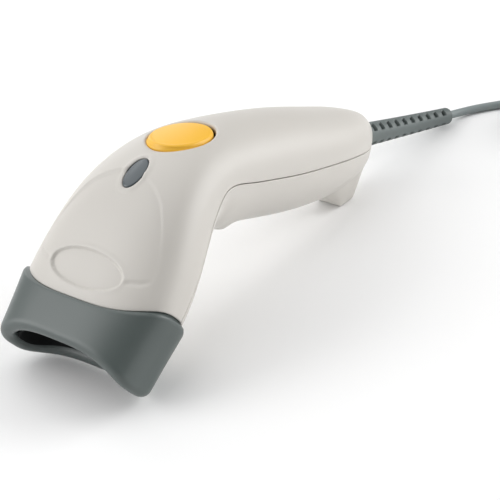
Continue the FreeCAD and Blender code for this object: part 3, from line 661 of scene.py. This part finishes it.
def mouth_shade_liner(material):
    """Thin near-black tunnel between the lips and the window, painted shade of the deep mouth over its dark
    inside: along its inside, and back along its outside.
    """
    count = 160
    across, up = oval_ring(1.0, 1.0, MOUTH_POWER, count)
    front = LINER_S + LIP_DIP * (1 - np.abs(across) ** LIP_POWER)
    back = np.full(count, WINDOW_S - 0.1)
    rows = []
    for s, inset in ((front, LINER_THICK), (back, LINER_THICK), (back, LINER_GAP), (front, LINER_GAP)):
        rows.append(head_points(s, across * (MOUTH_HALF[1] - inset), up * (MOUTH_HALF[0] - inset)))
    faces = [tuple(reversed(face)) for face in grid_faces(len(rows), count, closed_rows=True)]
    mesh_piece("mouth_shade_liner", np.concatenate(rows), faces, material)


# ---------------------------------------------------------------- button and lens
def dome(place, half_along, half_across, profile, slide, count=96):
    """Oval cap, closed at its middle and below.

    Its rings are (share of the half sizes, height, share of the place's own tilt that the ring takes).
    """
    x, z, tilt = place
    c, s = cos(radians(slide)), sin(radians(slide))
    angle = np.linspace(0, 2 * pi, count, endpoint=False)
    rise = tan(radians(tilt - slide))
    rows = []
    for share, height, follow in profile:
        a, b = share * half_along * np.cos(angle), share * half_across * np.sin(angle)
        out = height + follow * rise * a
        rows.append(np.stack([x + a * c - out * s, b, z + a * s + out * c], axis=1))
    points = np.concatenate(rows)
    faces = [tuple(reversed(face)) for face in grid_faces(len(rows), count)]
    faces.append(tuple(range(count)))
    faces.append(tuple(reversed(range(len(points) - count, len(points)))))
    return points, faces


def trigger_button(material):
    """Crowned oval cap with a rounded edge, and a skirt below that shows in the gap round it."""
    place, half_along, half_across = BUTTON
    profile = [(0.02, BUTTON_CROWN, 1.0)]
    for k in range(1, 25):
        share = k / 24 * BUTTON_TOP
        profile.append((share, BUTTON_CROWN - BUTTON_DROP * share ** 2.2, 1.0))
    edge = profile[-1][1]
    for k in range(1, 9):
        turn = k / 8 * pi / 2
        height = edge - BUTTON_EDGE * (1 - cos(turn))
        profile.append((BUTTON_TOP + (1 - BUTTON_TOP) * sin(turn), height, 1.0 - 0.5 * k / 8))
    profile += [(1.0, -2.3, 0.5), (BUTTON_SKIRT, -2.9, 0.4), (BUTTON_SKIRT, BUTTON_DEEP, 0.0)]
    profile += [(0.9, BUTTON_DEEP - 0.1, 0.0), (0.02, BUTTON_DEEP - 0.1, 0.0)]
    points, faces = dome(place, half_along - BUTTON_GAP, half_across - BUTTON_GAP, profile, BUTTON_SLIDE)
    button = mesh_piece("trigger_cap", points, faces, material, "button")
    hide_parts("trigger_button")


def status_lens(material):
    """Slightly crowned oval lens."""
    place, half_along, half_across = LENS
    profile = [(0.02, LENS_CROWN, 0.0)]
    for k in range(1, 15):
        share = k / 14 * 0.93
        profile.append((share, LENS_CROWN - LENS_FALL * share ** 2, 0.0))
    profile += [(0.975, 0.05, 0.0), (1.0, -0.15, 0.0), (1.0, LENS_DEEP, 0.0), (0.02, LENS_DEEP, 0.0)]
    points, faces = dome(place, half_along - 0.1, half_across - 0.1, profile, place[2])
    lens = mesh_piece("lens_cap", points, faces, material)
    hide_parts("status_lens")


# ---------------------------------------------------------------- cable sleeve
def sleeve_line():
    """Points of the sleeve's line, read from its smooth curve."""
    guide = nurbs("sleeve_guide", RELIEF_PATH)
    guide.data.splines[0].resolution_u = 240
    line = bpy.data.meshes.new_from_object(guide)
    points = np.array([v.co for v in line.vertices]) / MM + (ORIGIN_X, 0, 0)
    bpy.data.meshes.remove(line)
    bpy.data.objects.remove(guide)
    return points


def sleeve_ring(line, length, at, radius):
    """Ring of points round the sleeve's line at a distance along it, which may lie before its start."""
    spot = np.array([np.interp(at, length, line[:, k]) for k in range(3)])
    ahead = np.array([np.interp(at + 1, length, line[:, k]) for k in range(3)])
    if at > length[-1] - 1:
        ahead = spot + line[-1] - line[-3]
    if at < 0:
        heading = (line[2] - line[0]) / np.linalg.norm(line[2] - line[0])
        spot, ahead = line[0] + heading * at, line[0] + heading * (at + 1)
    forward = (ahead - spot) / np.linalg.norm(ahead - spot)
    side = np.cross((0, 0, 1), forward)
    side /= np.linalg.norm(side)
    up = np.cross(forward, side)
    angle = np.linspace(0, 2 * pi, SLEEVE_COUNT, endpoint=False)
    return spot + radius[:, None] * (np.cos(angle)[:, None] * side + np.sin(angle)[:, None] * up)


def sleeve_radius(at, whole):
    """Radii round the sleeve at a distance along it: taper, slots and rounded tip."""
    angle = np.linspace(0, 2 * pi, SLEEVE_COUNT, endpoint=False)
    share = max(0.0, at / whole)
    radius = RELIEF_RADII[0] + (RELIEF_RADII[1] - RELIEF_RADII[0]) * share
    phase = (at - SLOT_FIRST) / SLOT_PITCH
    in_row = 0 <= phase < (whole - SLOT_LAST) / SLOT_PITCH
    across = abs((phase % 1) - 0.35) * SLOT_PITCH
    cut = soft_step((SLOT_LONG / 2 + SLOT_EDGE / 2 - across) / SLOT_EDGE) if in_row else 0.0
    from_row = np.abs(np.degrees(np.arcsin(np.abs(np.sin(angle)))) - SLOT_ROW)
    reach = soft_step((SLOT_HALF_ANGLE - from_row) / SLOT_END)
    tip = SLEEVE_TIP_ROUND * max(0.0, (at - whole + SLEEVE_TIP) / SLEEVE_TIP) ** 2
    return radius - SLOT_DEPTH * cut * reach - tip


def strain_relief(material):
    """Tapered sleeve with four rows of slots, and a bore that the cable runs through."""
    line = sleeve_line()
    length = np.concatenate([[0], np.cumsum(np.linalg.norm(np.diff(line, axis=0), axis=1))])
    whole = length[-1]
    bore = np.full(SLEEVE_COUNT, SLEEVE_BORE)
    steps = np.linspace(SLEEVE_START, whole, SLEEVE_RINGS)
    rings = [sleeve_ring(line, length, at, sleeve_radius(at, whole)) for at in steps]
    rings += [sleeve_ring(line, length, at, bore) for at in (whole, whole - 0.6, whole - 2.4, SLEEVE_START)]
    faces = grid_faces(len(rings), SLEEVE_COUNT, closed_rows=True)
    sleeve = mesh_piece("cable_sleeve", np.concatenate(rings), faces, material)
    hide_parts("strain_relief")
    return sleeve


# ---------------------------------------------------------------- materials
def shader(name, colour, roughness, **values):
    """Material with its shader's own values set."""
    material = bpy.data.materials.new(name)
    material.use_nodes = True
    principled = material.node_tree.nodes["Principled BSDF"]
    principled.inputs["Base Color"].default_value = (*colour, 1)
    principled.inputs["Roughness"].default_value = roughness
    for socket, value in values.items():
        principled.inputs[socket.replace("_", " ")].default_value = value
    return material


def noise(material, scale, detail=3.0, stretch=(1, 1, 1)):
    """Noise texture in the piece's own coordinates."""
    nodes, links = material.node_tree.nodes, material.node_tree.links
    place = nodes.new("ShaderNodeTexCoord")
    turn = nodes.new("ShaderNodeMapping")
    turn.inputs["Scale"].default_value = stretch
    texture = nodes.new("ShaderNodeTexNoise")
    texture.inputs["Scale"].default_value = scale
    texture.inputs["Detail"].default_value = detail
    links.new(place.outputs["Object"], turn.inputs["Vector"])
    links.new(turn.outputs["Vector"], texture.inputs["Vector"])
    return texture


def vary_colour(material, texture, dark, light):
    """Drifts the base colour a little, from dark to light."""
    nodes, links = material.node_tree.nodes, material.node_tree.links
    ramp = nodes.new("ShaderNodeValToRGB")
    ramp.color_ramp.elements[0].position = 0.3
    ramp.color_ramp.elements[1].position = 0.7
    ramp.color_ramp.elements[0].color = (*dark, 1)
    ramp.color_ramp.elements[1].color = (*light, 1)
    links.new(texture.outputs["Fac"], ramp.inputs["Fac"])
    links.new(ramp.outputs["Color"], nodes["Principled BSDF"].inputs["Base Color"])


def vary_roughness(material, texture, low, high):
    """Spreads the roughness from low to high by a texture."""
    nodes, links = material.node_tree.nodes, material.node_tree.links
    span = nodes.new("ShaderNodeMapRange")
    span.inputs["To Min"].default_value = low
    span.inputs["To Max"].default_value = high
    links.new(texture.outputs["Fac"], span.inputs["Value"])
    links.new(span.outputs["Result"], nodes["Principled BSDF"].inputs["Roughness"])


def grain(material, texture, depth):
    """Bump of a depth in metres."""
    nodes, links = material.node_tree.nodes, material.node_tree.links
    bump = nodes.new("ShaderNodeBump")
    bump.inputs["Strength"].default_value = 1.0
    bump.inputs["Distance"].default_value = depth
    links.new(texture.outputs["Fac"], bump.inputs["Height"])
    links.new(bump.outputs["Normal"], nodes["Principled BSDF"].inputs["Normal"])


def moulded(name, colour, roughness, drift=0.03, grain_size=0.00035, depth=0.00001, **values):
    """Moulded plastic or rubber: faint drift of colour, uneven gloss, fine grain."""
    material = shader(name, colour, roughness, **values)
    broad = noise(material, 28.0, 2.0)
    fine = noise(material, 1 / grain_size, 4.0)
    dark = [channel * (1 - drift) for channel in colour]
    light = [min(1.0, channel * (1 + drift)) for channel in colour]
    vary_colour(material, broad, dark, light)
    vary_roughness(material, fine, roughness - 0.05, min(1.0, roughness + 0.05))
    grain(material, fine, depth)
    return material


def metal(name, colour, roughness, stretch=(1, 1, 1)):
    """Metal with fine tool marks."""
    material = shader(name, colour, roughness, Metallic=1.0)
    marks = noise(material, 900.0, 5.0, stretch)
    dark = [channel * 0.92 for channel in colour]
    vary_colour(material, marks, dark, colour)
    vary_roughness(material, marks, roughness - 0.08, roughness + 0.1)
    grain(material, marks, 0.000004)
    return material


def clear(name, colour, roughness, **values):
    """See-through plastic or glass, with very faint waves in its surface."""
    material = shader(name, colour, roughness, Transmission_Weight=0.9, IOR=1.49, **values)
    waves = noise(material, 160.0, 2.0)
    vary_roughness(material, waves, roughness, roughness + 0.03)
    grain(material, waves, 0.000003)
    return material


def winding(name, colour):
    """Enamelled wire, seen as fine ridges round the coil."""
    material = shader(name, colour, 0.35, Metallic=0.8)
    nodes, links = material.node_tree.nodes, material.node_tree.links
    place = nodes.new("ShaderNodeTexCoord")
    wave = nodes.new("ShaderNodeTexWave")
    wave.bands_direction = "X"
    wave.inputs["Scale"].default_value = 1400.0
    links.new(place.outputs["Object"], wave.inputs["Vector"])
    vary_colour(material, wave, [channel * 0.5 for channel in colour], colour)
    grain(material, wave, 0.00003)
    return material


def make_materials():
    """One material for each of the record's slots, and two that only the visual pieces use."""
    return {
        "housing_plastic": moulded("housing_plastic", (0.592, 0.568, 0.530), 0.42, drift=0.008),
        "bumper_rubber": moulded("bumper_rubber", (0.090, 0.109, 0.105), 0.36, drift=0.03, depth=0.000014),
        "button_plastic": moulded("button_plastic", (0.90, 0.50, 0.042), 0.42, drift=0.015, depth=0.000004),
        "lens_plastic": moulded("lens_plastic", (0.088, 0.105, 0.116), 0.2, drift=0.06, depth=0.000002),
        "window_clear": clear("window_clear", (0.55, 0.06, 0.06), 0.05),
        "gasket_foam": moulded("gasket_foam", (0.02, 0.02, 0.02), 0.95, grain_size=0.0006, depth=0.00012),
        "circuit_board": moulded("circuit_board", (0.02, 0.14, 0.05), 0.3, drift=0.2, grain_size=0.0009),
        "black_plastic": moulded("black_plastic", (0.02, 0.021, 0.022), 0.45, drift=0.1),
        "plated_steel": metal("plated_steel", (0.62, 0.62, 0.60), 0.3),
        "zinc_casting": metal("zinc_casting", (0.48, 0.49, 0.51), 0.5),
        "brass_barrel": metal("brass_barrel", (0.70, 0.50, 0.20), 0.28, stretch=(1, 8, 8)),
        "copper_winding": winding("copper_winding", (0.65, 0.28, 0.12)),
        "mirror_glass": metal("mirror_glass", (0.92, 0.92, 0.94), 0.1),
        "red_filter": clear("red_filter", (0.6, 0.01, 0.01), 0.05),
        "led_clear": clear("led_clear", (0.9, 0.9, 0.85), 0.1),
        # Near-black with little gloss: painted shade inside the deep mouth, darker than the dark plastic
        # there.
        "mouth_shade_black": moulded("mouth_shade_black", (0.006, 0.007, 0.007), 0.8, drift=0.1, Specular_IOR_Level=0.15),
        # The cable and its sleeve are one rubber in two copies: the jacket's is lighter, painted light, and
        # the sleeve's darker, painted shade.
        "cable_jacket": moulded("cable_jacket", (0.240, 0.275, 0.275), 0.5, drift=0.04, depth=0.000012),
        "shaded_sleeve_rubber": moulded("shaded_sleeve_rubber", (0.126, 0.148, 0.145), 0.5, drift=0.04, depth=0.000012),
        "plug_contacts": moulded("plug_contacts", (0.75, 0.75, 0.72), 0.4, drift=0.03),
    }


# ---------------------------------------------------------------- stage
def add_stage():
    """Plain pale floor with a wall of light round it."""
    mesh = bpy.data.meshes.new("floor")
    half = FLOOR_SIZE / 2
    corners = [(-half, -half, 0), (half, -half, 0), (half, half, 0), (-half, half, 0)]
    mesh.from_pydata(corners, [], [(0, 1, 2, 3)])
    floor = bpy.data.objects.new("floor", mesh)
    bpy.context.collection.objects.link(floor)
    paper = shader("floor_paper", (0.96, 0.96, 0.96), 0.9)
    grain(paper, noise(paper, 300.0), 0.00002)
    mesh.materials.append(paper)
    world = bpy.data.worlds.new("studio")
    world.use_nodes = True
    bpy.context.scene.world = world
    nodes, links = world.node_tree.nodes, world.node_tree.links
    heading = nodes.new("ShaderNodeTexCoord")
    side = nodes.new("ShaderNodeVectorMath")
    side.operation = "DOT_PRODUCT"
    side.inputs[1].default_value = WALL_AXIS
    links.new(heading.outputs["Generated"], side.inputs[0])
    square = nodes.new("ShaderNodeMath")
    square.operation = "POWER"
    square.inputs[1].default_value = 2.0
    links.new(side.outputs["Value"], square.inputs[0])
    span = nodes.new("ShaderNodeMapRange")
    span.inputs["To Min"].default_value, span.inputs["To Max"].default_value = WALL_LIGHT
    links.new(square.outputs["Value"], span.inputs["Value"])
    links.new(span.outputs["Result"], nodes["Background"].inputs["Strength"])
    nodes["Background"].inputs["Color"].default_value = (1, 1, 1, 1)


def soft_box(name, place, size, power):
    """Square lamp that points at the origin."""
    lamp = bpy.data.lights.new(name, "AREA")
    lamp.size = size
    lamp.energy = power
    box = bpy.data.objects.new(name, lamp)
    box.location = place
    box.rotation_euler = Vector(place).to_track_quat("Z", "Y").to_euler()
    bpy.context.collection.objects.link(box)


# ---------------------------------------------------------------- everything
add_camera()
materials = make_materials()
for subpart in frame["record"]["subparts"]:
    node = frame["nodes"][subpart["node"]]
    for slot in node.material_slots:
        slot.material = materials[subpart["material_slot"]]
sleeve = strain_relief(materials["shaded_sleeve_rubber"])
add_cord(materials["cable_jacket"])
upper_housing(materials["housing_plastic"])
lower_housing(materials["housing_plastic"])
housing_screws(materials["plated_steel"])
nose_bumper(materials["bumper_rubber"])
mouth_shade_liner(materials["mouth_shade_black"])
trigger_button(materials["button_plastic"])
status_lens(materials["lens_plastic"])
add_stage()
for lamp in LAMPS:
    soft_box(*lamp)
bpy.context.scene.view_settings.view_transform = "Standard"
